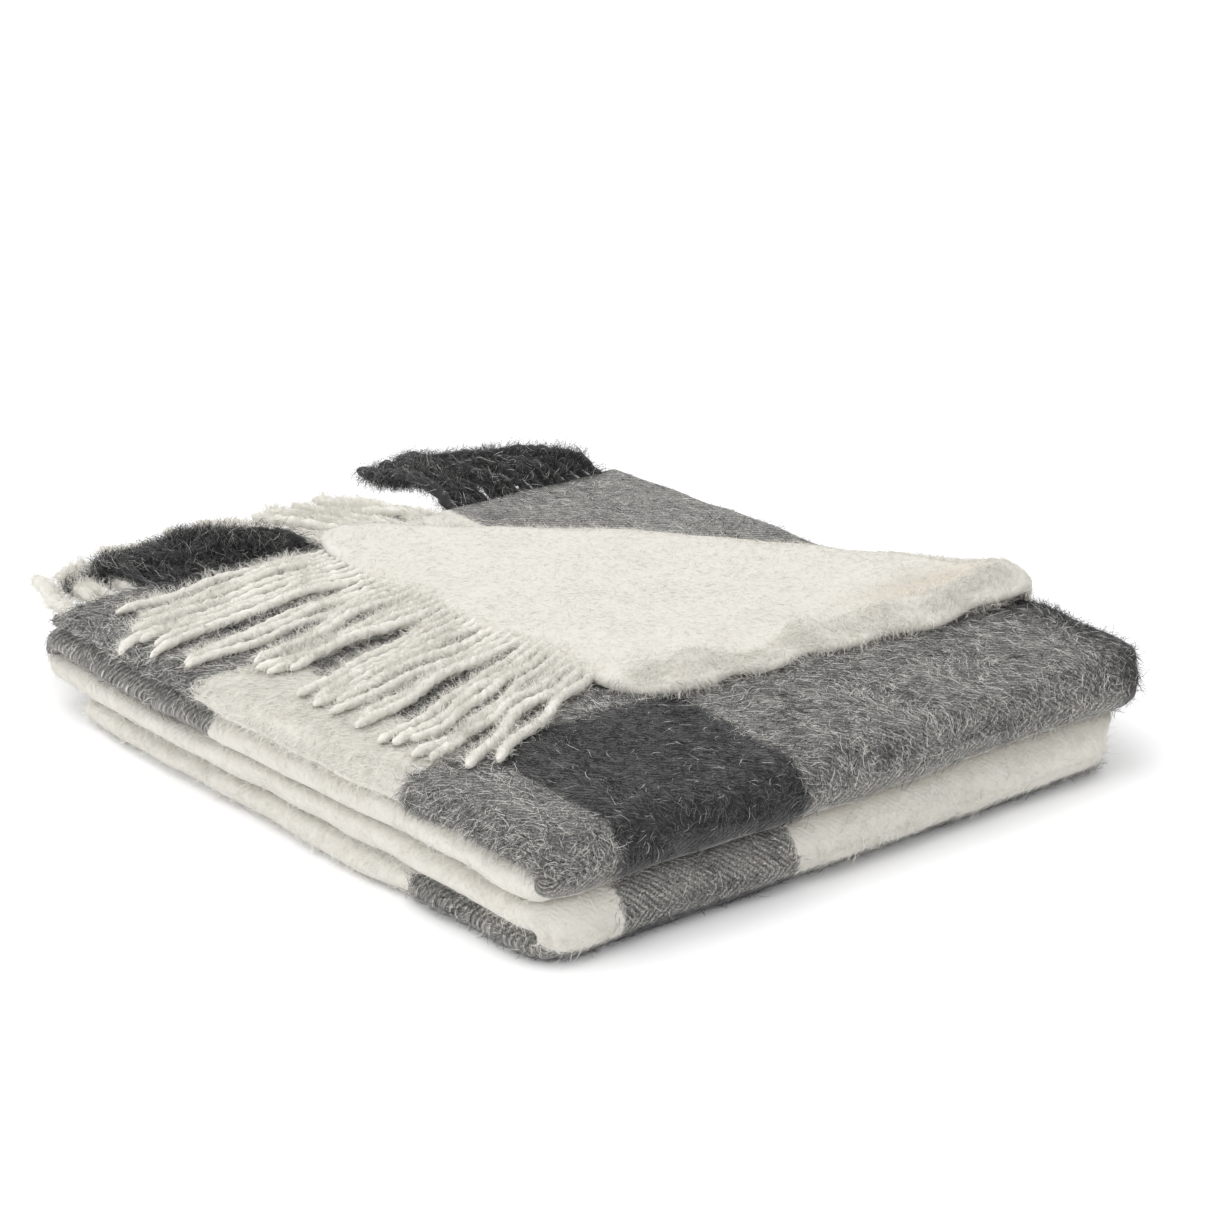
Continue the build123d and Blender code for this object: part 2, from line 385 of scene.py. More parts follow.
def make_cloth_material():
    material = bpy.data.materials.new("brushed_check_cloth")
    shader = soft_shader(material)
    tree = material.node_tree

    def node(kind, **values):
        n = tree.nodes.new(kind)
        for key, value in values.items():
            setattr(n, key, value)
        return n

    def feed(socket, value):
        """Links an output to a socket, or sets a constant on it."""
        if isinstance(value, (int, float)):
            socket.default_value = value
        elif isinstance(value, tuple):
            socket.default_value = (*value, 1)
        else:
            tree.links.new(value, socket)

    def calc(operation, *values, clamp=False):
        n = node("ShaderNodeMath", operation=operation, use_clamp=clamp)
        for socket, value in zip(n.inputs, values):
            feed(socket, value)
        return n.outputs[0]

    def mix(factor, a, b):
        n = node("ShaderNodeMix", data_type="RGBA")
        for i, value in ((0, factor), (6, a), (7, b)):
            feed(n.inputs[i], value)
        return n.outputs[2]

    def attribute(name):
        """A mesh attribute, whole and split into its three values."""
        whole = node("ShaderNodeAttribute", attribute_name=name).outputs["Vector"]
        split = node("ShaderNodeSeparateXYZ")
        feed(split.inputs[0], whole)
        return whole, split.outputs

    def noise(scale, detail=2.0, stretch=None):
        n = node("ShaderNodeTexNoise")
        n.inputs["Scale"].default_value = scale
        n.inputs["Detail"].default_value = detail
        source = cloth
        if stretch is not None:
            s = node("ShaderNodeVectorMath", operation="MULTIPLY")
            s.inputs[1].default_value = stretch
            feed(s.inputs[0], cloth)
            source = s.outputs[0]
        feed(n.inputs["Vector"], source)
        return n.outputs["Fac"]

    cloth, uv = attribute("cloth")
    # the stripes attribute gives the distances into the check's dark column and row, and as third value the
    # painted tan shade
    _, checks_and_painted_shade = attribute("stripes")
    jitter = calc("MULTIPLY_ADD", noise(0.35, 3.0), EDGE_JITTER, -EDGE_JITTER / 2)

    def dark_share(distance):
        return calc("MULTIPLY_ADD", calc("ADD", distance, jitter), 0.45, 0.5, clamp=True)

    column, row = dark_share(checks_and_painted_shade[0]), dark_share(checks_and_painted_shade[1])
    # twill ribs: the column yarn and the row yarn take turns on the face along the diagonal
    wobble = calc("MULTIPLY_ADD", noise(0.12), RIB_WOBBLE, -RIB_WOBBLE / 2)
    slant = calc("ADD", calc("ADD", uv[0], uv[1]), wobble)
    wave = calc("SINE", calc("MULTIPLY", slant, 2 * math.pi / RIB_LENGTH))
    speckle = noise(1.1, 3.0)
    ribs = calc("MULTIPLY", wave, calc("MULTIPLY", noise(0.03, 1.0), 0.16))
    face = calc("MULTIPLY_ADD", calc("ADD", ribs, speckle), 2.2, -0.60, clamp=True)
    row_part = calc("MULTIPLY", row, calc("SUBTRACT", 1.0, face))
    shared = calc("ADD", calc("MULTIPLY", column, face), row_part, clamp=True)
    darkness = calc("POWER", shared, 0.42, clamp=True)
    white = mix(noise(0.05), WOOL_WHITE, WOOL_CREAM)
    # painted shade: the white is tinted tan by the third stripes value, in the shadowed dip beside the
    # crease's right end
    white = mix(calc("MULTIPLY", checks_and_painted_shade[2], 0.95), white, PAINTED_SHADE_TAN)
    fibre = noise(0.9, 4.0, (0.35, 1.0, 1.0))
    dark = mix(fibre, WOOL_DARK, WOOL_SOFT_DARK)
    feed(shader.inputs["Base Color"], mix(darkness, white, dark))
    fuzz = calc("ADD", noise(0.8, 4.0), calc("MULTIPLY", fibre, 0.6))
    bump = node("ShaderNodeBump")
    bump.inputs["Strength"].default_value = 0.55
    bump.inputs["Distance"].default_value = 0.0012
    feed(bump.inputs["Height"], calc("ADD", calc("MULTIPLY", wave, 0.12), fuzz))
    feed(shader.inputs["Normal"], bump.outputs[0])
    return material


def plain(name, colour, sheen=0.25):
    material = bpy.data.materials.new(name)
    shader = soft_shader(material, sheen)
    shader.inputs["Base Color"].default_value = (*colour, 1)
    return material


cloth_material = make_cloth_material()
light_yarn = plain("light_yarn_fringe", (0.72, 0.70, 0.645))
dark_yarn = plain("dark_yarn_fringe", (0.032, 0.032, 0.033))
fibre_materials = [
    plain("fibre_white", (0.70, 0.685, 0.64), 0.0),
    plain("fibre_cream", (0.66, 0.63, 0.56), 0.0),
    plain("fibre_mid", (0.17, 0.17, 0.169), 0.0),
    plain("fibre_dark", (0.025, 0.025, 0.026), 0.0),
]
WHITE, CREAM, MID, DARK = range(4)


# ---- the panels that show no turned corner
bottom, second, third = (
    plies(name, whole_path, *rest)
    for name, *rest in (
        ("bottom_panel_cloth", 0.0, True, PANEL, None, BOTTOM_END, low_columns, bottom_rows),
        ("second_panel_cloth", MIDDLE, False, PANEL, MIDDLE, None, low_columns, second_rows),
        ("third_panel_cloth", MIDDLE, True, 3 * PANEL, MIDDLE, None, third_columns, third_rows),
    )
)
under_places = (STACK, False, 3 * PANEL, None, UNDER_END)
under = plies("top_panel_lower_plies_cloth", lower_path, *under_places, under_columns, under_rows, 3.5)


# ---- the uppermost plies and the turned corner, one piece of cloth
def crease_bow(a):
    """How far the crease's inner line stands off its chord, at a along the crease."""
    return BULGE * (1 - (2 * a / CREASE_LENGTH - 1) ** 2) - CHAIN_INSET


def dense(points):
    """Points along straight runs, at about one point per step."""
    out = [np.array(points[0], float)]
    for p, q in zip(points, points[1:]):
        p, q = np.array(p, float), np.array(q, float)
        count = max(1, int(round(np.linalg.norm(q - p) / EDGE_STEP)))
        out += [p + (q - p) * i / count for i in range(1, count + 1)]
    return out


def smooth_run(points):
    """A smooth curve through points (Catmull-Rom), at about one point per step."""
    pts = [np.array(p, float) for p in points]
    pts = [2 * pts[0] - pts[1]] + pts + [2 * pts[-1] - pts[-2]]
    out = []
    for i in range(1, len(pts) - 2):
        a, b, c, d = pts[i - 1 : i + 3]
        square, cube = 2 * a - 5 * b + 4 * c - d, 3 * b - a - 3 * c + d
        count = max(1, int(round(np.linalg.norm(c - b) / EDGE_STEP)))
        for t in (k / count for k in range(count)):
            out.append(0.5 * (2 * b + (c - a) * t + square * t * t + cube * t**3))
    out.append(pts[-2])
    return out


chain_count = int(CREASE_LENGTH / EDGE_STEP)
chain = [
    CREASE_LEFT + ALONG * a + ACROSS * crease_bow(a) for a in np.linspace(0, CREASE_LENGTH, chain_count)
]
chain_left, chain_right = tuple(chain[0]), tuple(chain[-1])
CORNER_TIP = (132, 104)
fringed_edge = smooth_run(
    [chain_left, (119.5, 320), (118.5, 262), (121, 200), (125, 140), (127.5, 115), CORNER_TIP]
)
selvage_edge = [CORNER_TIP, (141, 97), (160, 94), (177, 97.5), (196, 90), (217, 93), (240, 86.5)]
selvage_edge = smooth_run([*selvage_edge, (262, 89), (285, 81.5), (306, 85), (322, 81), chain_right])


def inside_polygon(points, polygon):
    x, y = points[:, 0], points[:, 1]
    inside = np.zeros(len(points), bool)
    ax, ay = polygon[-1]
    for bx, by in polygon:
        crosses = ((by > y) != (ay > y)) & (x < (ax - bx) * (y - by) / ((ay - by) or 1e-9) + bx)
        inside ^= crosses
        ax, ay = bx, by
    return inside


def run_distance(points, run):
    """Distances from points to an open run of straight edges."""
    best = np.full(len(points), 1e9)
    for p, q in zip(run, run[1:]):
        d = q - p
        t = np.clip(((points - p) @ d) / max(d @ d, 1e-9), 0, 1)
        best = np.minimum(best, np.linalg.norm(points - (p + t[:, None] * d), axis=1))
    return best


def edge_distance(points, polygon):
    return run_distance(points, [polygon[-1], *polygon])


def fill(boundary, columns_x, rows_y):
    """Triangles over a closed boundary, whose points come first, with a grid of points inside it."""
    gx, gy = np.meshgrid(columns_x, rows_y)
    grid = np.column_stack([gx.ravel(), gy.ravel()])
    grid = grid[inside_polygon(grid, boundary)]
    grid = grid[edge_distance(grid, boundary) > 0.75]
    every = [tuple(map(float, p)) for p in [*boundary, *grid]]
    count = len(boundary)
    edges = [(i, (i + 1) % count) for i in range(count)]
    cut = delaunay_2d_cdt([Vector(p) for p in every], edges, [], 1, 1e-5)
    triangles, back = cut[2], [o[0] for o in cut[3]]
    return np.array(every), [tuple(back[i] for i in t) for t in triangles]


# the uppermost plies' plan: front edge, right side, crease, back edge, left side
LAP = 8
top_boundary = dense([(0, -LAP), (7, -LAP), (WIDTH, -LAP)])[:-1]
top_boundary += dense([(WIDTH, -LAP), (331, 60), chain_right])[:-1]
chain_start = len(top_boundary)
top_boundary += chain[::-1]
chain_top = list(range(chain_start, chain_start + len(chain)))[::-1]
top_boundary += dense([chain_left, (122, 357), (7, TOP_END), (0, TOP_END), (0, -LAP)])[1:-1]
top_columns_x = [0.4, 1.2, 2.6, 4.5, *np.arange(7.0, 336, GRID)]
top_plan, top_triangles = fill(top_boundary, top_columns_x, np.arange(-6, TOP_END + 6, GRID))

flap_boundary = list(chain)
chain_flap = list(range(len(chain)))
flap_boundary += selvage_edge[::-1][1:] + fringed_edge[::-1][1:-1]
flap_plan, flap_triangles = fill(flap_boundary, np.arange(110, 345, GRID), np.arange(80, 372, GRID))


def top_point(plan, low):
    """A point of the uppermost plies: low picks the face that lies on the plies beneath."""
    x, v = plan.T
    rounded = HALF_PANEL - np.clip(HALF_PANEL - x, 0, HALF_PANEL)
    t = np.full(len(x), HALF_PANEL)
    if not low:
        t = t + np.maximum(np.sqrt(np.maximum(HALF_PANEL**2 - (HALF_PANEL - rounded) ** 2, 0)), 0.5)
    a = np.clip((NOSE - v) / NOSE, 0, math.pi / 2)
    y = np.where(v < NOSE, NOSE - t * np.sin(a), v)
    z = 3 * PANEL + t * np.cos(a)
    return np.column_stack([x, y, z])


def crease_places(plan):
    """How far along the crease places are, and how far off its inner line."""
    rel = plan - CREASE_LEFT
    a = np.clip(rel @ ALONG, 0, CREASE_LENGTH)
    return a, crease_bow(a) - rel @ ACROSS


def end_fullness(a):
    """How full the crease's roll is: it thins towards its two ends."""
    left = np.clip(a / 22, 0, 1)
    right = np.clip((CREASE_LENGTH - a) / 12, 0, 1)
    left = 0.25 + 0.75 * np.sqrt(1 - (1 - left) ** 2)
    return left * (0.8 + 0.2 * np.sqrt(1 - (1 - right) ** 2))


def shadowed(plan):
    """The dip beside the crease's right end, from 0 to 1; it also gives how much painted tan shade the
    flap's cloth takes there.
    """
    rel = (plan - np.array([300.0, 106.0])) @ np.array([[0.97, -0.24], [0.24, 0.97]]).T
    return np.exp(-((rel[:, 0] / 26) ** 2 + (rel[:, 1] / 8.5) ** 2))


ROLL_HEIGHT = 4.6
VALLEY_DEPTH = 5.5
DIMPLE_DEPTH = 6.0
WRINKLE_HEIGHT = 0.6
LEAST_THICK = 2.5


def flap_heights(plan):
    """The flap's upper and lower faces: raised along the crease, wrinkled, thick and lumpy along its
    selvage."""
    a, away = crease_places(plan)
    away = np.maximum(away, 0)
    fullness = end_fullness(a)
    rise = hill(away, 34) * (ROLL_TOP - FLAP_LOW - FLAP_THICK)
    from_selvage = run_distance(plan, selvage_edge)
    from_fringe = run_distance(plan, fringed_edge)
    free = np.clip(away / 14, 0, 1)
    x, y = plan.T
    lumps = 1.0 + 0.6 * ripple(plan, 50, 22)
    at_rim = 1 - hill(from_selvage, 5.0)
    roll = ROLL_HEIGHT * lumps * hill(from_selvage - 9, 12) * free * at_rim
    valley = VALLEY_DEPTH * hill(from_selvage - 25, 9) * np.clip((x - 175) / 110, 0, 1) * free
    wrinkles = WRINKLE_HEIGHT * ripple(plan @ np.array([[0.45, 0.25], [0.2, 1.0]]), 44, 21) * free
    dimple = DIMPLE_DEPTH * shadowed(plan) * free
    dimple = dimple - DIMPLE_DEPTH * np.exp(-(((x - 322) / 17) ** 2 + ((y - 92) / 15) ** 2)) * at_rim
    thin = 2.4 * hill(from_fringe, 7) + 1.6 * hill(from_selvage, 2.5)
    upper = FLAP_LOW + FLAP_THICK + rise * fullness + wrinkles + roll - dimple - valley - thin * free
    lower = FLAP_LOW + rise * 0.8 * (0.6 + 0.4 * fullness)
    return np.maximum(upper, lower + LEAST_THICK), lower


# a rim's outline from the upper face to the lower: (how far out, share of the way down)
ROUND_PROFILE = [
    (3.2 * math.sin(math.pi * k / 8), (1 - math.cos(math.pi * k / 8)) / 2) for k in range(1, 8)
]
EDGE_PROFILE = [(1.1, 0.04), (2.0, 0.15), (2.4, 0.3), (1.7, 0.43), (-0.6, 0.5)]
EDGE_PROFILE += [(1.7, 0.57), (2.4, 0.7), (2.0, 0.85), (1.1, 0.96)]


class Piece:
    """Points, cloth coordinates, checks (with painted shade as a third value on the turned corner) and faces
    of one piece of cloth while it is built.
    """

    def __init__(self):
        self.points, self.cloth, self.stripes, self.faces = [], [], [], []
        self.count = 0

    def add(self, points, cloth, stripes):
        start = self.count
        for kept, more in ((self.points, points), (self.cloth, cloth), (self.stripes, stripes)):
            kept.append(np.asarray(more, float))
        self.count += len(points)
        return start

    def make(self, name):
        points, cloth, stripes = (np.vstack(v) for v in (self.points, self.cloth, self.stripes))
        return new_mesh(name, soften(points), self.faces, cloth, stripes, cloth_material)


def facing(triangles, plan):
    out = []
    for t in triangles:
        p, q, r = plan[t[0]], plan[t[1]], plan[t[2]]
        turn = (q[0] - p[0]) * (r[1] - p[1]) - (q[1] - p[1]) * (r[0] - p[0])
        out.append(t if turn > 0 else (t[0], t[2], t[1]))
    return out


def double_ply(name, upper, lower, plan, cloth, stripes, triangles, rim_count, wall, profile):
    """A closed piece between two faces, with its rim drawn to profile, but cut straight at wall."""
    piece = Piece()
    first = piece.add(upper, cloth, stripes)
    second = piece.add(lower, cloth, stripes)
    for t in facing(triangles, plan):
        piece.faces.append(tuple(first + i for i in t))
        piece.faces.append(tuple(second + i for i in reversed(t)))
    rim = plan[:rim_count]
    ahead = unit(np.roll(rim, -1, axis=0) - np.roll(rim, 1, axis=0))
    area = 0.5 * np.sum(rim[:, 0] * np.roll(rim[:, 1], -1) - np.roll(rim[:, 0], -1) * rim[:, 1])
    out = np.column_stack([ahead[:, 1], -ahead[:, 0]]) * (1 if area > 0 else -1)
    thick = upper[:rim_count, 2] - lower[:rim_count, 2]
    fullness = np.clip(np.abs(thick) / 5.0, 0, 1.4)
    fullness[list(wall)] = 0
    starts = [first]
    for offset, share in profile:
        at = upper[:rim_count] * (1 - share) + lower[:rim_count] * share
        at[:, :2] += out * (offset * fullness)[:, None]
        starts.append(piece.add(at, cloth[:rim_count], stripes[:rim_count]))
    starts.append(second)
    for s, t in zip(starts, starts[1:]):
        for i in range(rim_count):
            j = (i + 1) % rim_count
            quad = (s + i, t + i, t + j, s + j)
            piece.faces.append(quad if area > 0 else tuple(reversed(quad)))
    return piece.make(name)


def corner_cloth(plan):
    """Cloth coordinates in the turned corner, whose weave runs aslant and whose noise is its own."""
    return plan @ np.array([[0.92, 0.39], [-0.39, 0.92]]) + 700


top_upper, top_lower = top_point(top_plan, False), top_point(top_plan, True)
top_cloth = double_ply(
    "top_plies_cloth", top_upper, top_lower, top_plan, top_plan,
    np.column_stack([check(*top_plan.T) for check in (top_columns, top_rows)]),
    top_triangles, len(top_boundary), chain_top, EDGE_PROFILE,
)
flap_upper, flap_lower = (np.column_stack([flap_plan, height]) for height in flap_heights(flap_plan))
# the turned corner's checks are empty, and their third value is the painted tan shade of the dip beside the
# crease's right end
flap_cloth = double_ply(
    "turned_corner_cloth", flap_upper, flap_lower, flap_plan, corner_cloth(flap_plan),
    np.column_stack([np.full((len(flap_plan), 2), NO_BAND), shadowed(flap_plan)]),
    flap_triangles, len(flap_boundary), chain_flap, ROUND_PROFILE,
)

# the roll along the crease, which joins the two
chain_xy = np.array(chain)
chain_ahead = unit(np.gradient(chain_xy, axis=0))
chain_out = np.column_stack([-chain_ahead[:, 1], chain_ahead[:, 0]])
if chain_out[0] @ ACROSS < 0:
    chain_out = -chain_out
BEND_FROM = 57.0
BEND_TO = 59.0
UNDULATION = 1.0


def roll_angles(low, high):
    """Angles round the roll. None lies in the bend's band of heights, so one flat strip of cloth
    reaches across when the corner is opened."""
    centre, half = (low + high) / 2, (high - low) / 2
    edges = [
        math.degrees(math.asin(max(-1.0, min(1.0, (height - centre) / half))))
        for height in (BEND_FROM - UNDULATION, BEND_TO + UNDULATION)
    ]
    outside = [a for a in np.linspace(-90, 90, 19) if a < edges[0] - 2 or a > edges[1] + 2]
    return sorted(outside + edges)


roll = Piece()
roll_rows = []
roll_fullness = end_fullness(np.linspace(0, CREASE_LENGTH, chain_count))
for low, high, reach_out, wander, turned in (
    (top_lower[chain_top, 2], flap_upper[chain_flap, 2], ROLL_OUTER, 0.07, 1),
    (top_upper[chain_top, 2], flap_lower[chain_flap, 2], ROLL_INNER, 0, -1),
):
    outer_count = len(roll_rows)
    for angle in roll_angles(float(low.mean()), float(high.mean()))[::turned]:
        c, s = math.cos(math.radians(angle)), math.sin(math.radians(angle))
        swell = roll_fullness * (1 + wander * ripple(chain_xy, 70, 23))
        at_xy = chain_xy + chain_out * (reach_out * c * swell)[:, None]
        at = np.column_stack([at_xy, (low + high) / 2 + (high - low) / 2 * s])
        cloth_at = corner_cloth(chain_xy) + angle * 0.12
        roll_rows.append(roll.add(at, cloth_at, np.full((len(at), 2), NO_BAND)))
for s, t in zip(roll_rows, roll_rows[1:] + roll_rows[:1]):
    for i in range(len(chain) - 1):
        roll.faces.append((s + i, t + i, t + i + 1, s + i + 1))
for end, turned in ((0, True), (len(chain) - 1, False)):
    outer_end = [r + end for r in roll_rows[:outer_count]]
    inner_end = [r + end for r in roll_rows[outer_count:]][::-1]
    match = np.linspace(0, len(inner_end) - 1, len(outer_end)).round().astype(int)
    for i in range(len(outer_end) - 1):
        quad = [outer_end[i], outer_end[i + 1], inner_end[match[i + 1]], inner_end[match[i]]]
        if quad[2] == quad[3]:
            quad = quad[:3]
        roll.faces.append(tuple(reversed(quad)) if turned else tuple(quad))
crease_roll = roll.make("crease_roll_cloth")


# ---- fringe strands
STRAND_RADIUS = 2.45
STRAND_STEP = 1.7
TWIST_LENGTH = 13.0
ROOT_TAPER = 16
TIP_TAPER = 5.0
RING = 10
# the upper fringes stay above the second panel, which they lie over once the lower fold is open
FRINGE_LOWEST = 3 * PANEL + 4.6


def support(x, y):
    """The height of the top of the stack at a place, with its rolled left side."""
    inner = np.clip(HALF_PANEL - x, 0, HALF_PANEL)
    z = TOP_MIDDLE + np.sqrt(np.maximum(HALF_PANEL**2 - inner**2, 0))
    return np.where(x < 0, TOP_MIDDLE + 2.3 * np.minimum(x, 0), z)


def tube(path, radius, seed):
    """A two-ply twisted strand along path: a ring of points whose outline turns as it goes."""
    along = np.concatenate([[0], np.cumsum(np.linalg.norm(np.diff(path, axis=0), axis=1))])
    total = along[-1]
    count = max(8, int(total / STRAND_STEP))
    at = np.linspace(0, total, count)
    centre = np.column_stack([np.interp(at, along, path[:, k]) for k in range(3)])
    tangent = unit(np.gradient(centre, axis=0))
    side = np.cross(tangent, np.tile(np.array([0.0, 0.0, 1.0]), (count, 1)))
    size = np.linalg.norm(side, axis=1)
    side = np.where(size[:, None] > 1e-3, unit(side), [1.0, 0, 0])
    up = np.cross(side, tangent)
    angles = np.arange(RING) * 2 * math.pi / RING
    phase = seed * 1.7
    points = []
    for i in range(count):
        turn = 2 * math.pi * at[i] / TWIST_LENGTH + phase
        r = radius * (0.84 + 0.20 * np.abs(np.cos(angles - turn)))
        r = r * (0.6 + 0.4 * min(1.0, at[i] / ROOT_TAPER))
        left_over = total - at[i]
        if left_over < TIP_TAPER:
            r = r * (0.35 + 0.65 * math.sqrt(max(left_over, 0) / TIP_TAPER))
        r = r * (1 + 0.10 * math.sin(at[i] * 0.55 + phase * 3) + 0.07 * math.sin(at[i] * 1.3 + phase))
        sideways, upwards = (r * np.cos(angles))[:, None], (r * np.sin(angles))[:, None]
        points.append(centre[i] + side[i] * sideways + up[i] * upwards)
    faces = ring_faces(count, RING)
    faces.append(tuple(range(RING - 1, -1, -1)))
    faces.append(tuple((count - 1) * RING + k for k in range(RING)))
    return np.vstack(points), faces


def fringe(name, paths, radius, material, seed):
    points, faces = [], []
    offset = 0
    for i, path in enumerate(paths):
        p, f = tube(path, radius * (0.88 + 0.24 * ((i * 0.618 + seed * 0.37) % 1)), seed + i)
        points.append(p)
        faces += [tuple(offset + k for k in face) for face in f]
        offset += len(p)
    return new_mesh(name, soften(np.vstack(points)), faces, material=material)


def wavy(root, heading, length, r, bend, wave, floor, root_z, drop, lift, curl):
    """A strand's path: level for a short run, then lying on what is beneath and wandering."""
    step = 2.0
    x, y = root
    path = [(x, y, root_z)]
    phase = r.uniform(0, 6.3)
    waves = r.uniform(38, 62)
    for i in range(1, int(length / step) + 1):
        s = i * step
        share = s / length
        angle = heading + bend * share + curl * max(share - 0.6, 0) ** 1.2
        angle += wave * math.sin(2 * math.pi * s / waves + phase) * min(1, s / 30)
        x += step * math.cos(angle)
        y += step * math.sin(angle)
        ground = float(floor(np.array([x]), np.array([y]))[0])
        ease = smoothstep(min(1.0, s / drop))
        hump = lift * math.sin(math.pi * min(1.0, share * 1.15)) ** 2
        path.append((x, y, root_z * (1 - ease) + (ground + hump) * ease))
    return np.array(path)


# the turned corner's fringe, in small groups that lean together
rng = np.random.default_rng(11)
edge_run = np.array(fringed_edge)
edge_along = np.concatenate([[0], np.cumsum(np.linalg.norm(np.diff(edge_run, axis=0), axis=1))])
corner_paths = []
corner_count = 34
groups = []
while sum(groups) < corner_count:
    groups.append(min(int(rng.integers(2, 5)), corner_count - sum(groups)))
for group in groups:
    group_lean = rng.normal(0, 0.06)
    group_length = rng.normal(0, 4)
    for k in range(group):
        i = len(corner_paths)
        share = (i + 0.5) / corner_count
        s = 8 + share * (edge_along[-1] - 37)
        foot = np.array([np.interp(s, edge_along, edge_run[:, j]) for j in range(2)])
        lean = math.radians(180 + 3 + 26 * share**1.4) + group_lean
        gather = (k - (group - 1) / 2) * 0.045
        length = 112 + 8 * math.sin(share * 9) + group_length + rng.normal(0, 4)
        if i == corner_count - 1:
            lean, gather = math.radians(180 + 31), 0.0
        path = wavy(
            foot + np.array([6.0, 0.8]), lean + gather * 0.3, length + 6, rng,
            bend=-gather * 1.6 + rng.normal(0, 0.10),
            wave=0.12 + 0.12 * rng.random(),
            floor=lambda x, y: support(x, y) + STRAND_RADIUS + 0.2,
            root_z=FLAP_LOW + 3.3,
            drop=26.0,
            lift=rng.uniform(0, 5.0),
            curl=rng.normal(0, 0.5),
        )
        corner_paths.append(path)
corner_fringe = fringe("corner_fringe_strands", corner_paths, STRAND_RADIUS, light_yarn, 3)


def places_between(first, last, count):
    return first + (np.arange(count) + 0.5) * (last - first) / count


def back_fringe(name, yarn, width, seeds, places, end_y, root_z, lie_z, length, lean, spread, lift, fall=0):
    """A fringe at the back. lie_z, length and lean tell a strand's height, length and lean from its
    place; fall is how fast what it lies on falls away behind the stack."""
    r = np.random.default_rng(seeds[0])
    paths = []
    for x in places:
        angle = math.radians(90 + lean(x)) + r.normal(0, spread)
        height = lie_z(x) + r.uniform(0, 2.0)

        def floor(px, py, low=height):
            over = np.maximum(py - DEPTH, 0)
            return np.where(over > 0, np.maximum(low - fall * over, min(low, FRINGE_LOWEST)), low)

        path = wavy(
            (x, end_y - 2.0), angle, length(x) + r.normal(0, 4), r,
            bend=r.normal(0, 0.2),
            wave=0.10 + 0.10 * r.random(),
            floor=floor,
            root_z=root_z,
            drop=16.0,
            lift=r.uniform(0, lift),
            curl=r.normal(0, 0.7),
        )
        paths.append(path)
    return fringe(name, paths, STRAND_RADIUS * width, yarn, seeds[1])


top_fringe_light = back_fringe(
    "top_fringe_light_strands", light_yarn, 1.15, (31, 40), places_between(3, 38, 4), TOP_END, 52.0,
    lie_z=lambda x: 50.0,
    length=lambda x: 70,
    lean=lambda x: 6,
    spread=0.18, lift=1.0, fall=0.35,
)
top_fringe_dark = back_fringe(
    "top_fringe_dark_strands", dark_yarn, 1.3, (32, 60), places_between(38, 134, 13), TOP_END, 53.0,
    lie_z=lambda x: 51.0 + 9.0 * (x - 38) / 96,
    length=lambda x: 54 + 46 * (x - 38) / 96,
    lean=lambda x: 8 + 68 * ((x - 38) / 96) ** 1.1,
    spread=0.14, lift=7.0, fall=0.42,
)
under_fringe_light = back_fringe(
    "under_fringe_light_strands", light_yarn, 1.1, (33, 80), places_between(74, 222, 21), UNDER_END, 45.5,
    lie_z=lambda x: 47.0,
    length=lambda x: 70,
    lean=lambda x: 18 + 22 * (x - 74) / 148,
    spread=0.10, lift=2.0,
)
under_fringe_dark = back_fringe(
    "under_fringe_dark_strands", dark_yarn, 1.3, (34, 110), places_between(222, 321, 14), UNDER_END, 46.0,
    lie_z=lambda x: 50.0 + 7.0 * (x - 222) / 99,
    length=lambda x: 66 + 30 * (x - 222) / 99,
    lean=lambda x: 2 + 62 * (x - 222) / 99,
    spread=0.10, lift=8.0,
)
bottom_light_places = [*places_between(8, 38, 4), *places_between(145, 321, 25)]
bottom_lie = (BOTTOM_END, HALF_PANEL, lambda x: STRAND_RADIUS + 0.3, lambda x: 100, lambda x: -32, 0.08, 0.6)
bottom_fringe_light = back_fringe(
    "bottom_fringe_light_strands", light_yarn, 1.0, (35, 140), bottom_light_places, *bottom_lie
)
bottom_fringe_dark = back_fringe(
    "bottom_fringe_dark_strands", dark_yarn, 1.0, (36, 180), places_between(38, 145, 15), *bottom_lie
)


# ---- the brushed nap: fine fibres that lie nearly flat and stand off a little at the outlines
FIBRE_WIDTH = 0.16
FIBRE_SINK = 0.15
# fibres are laid back at these, so that none leaves the part's box or enters the floor
FIBRE_LEFT = -0.181
FIBRE_FLOOR = 0.0003


def mesh_values(items, key, width=1):
    values = np.zeros(len(items) * width)
    items.foreach_get(key, values)
    return values.reshape(-1, width) if width > 1 else values


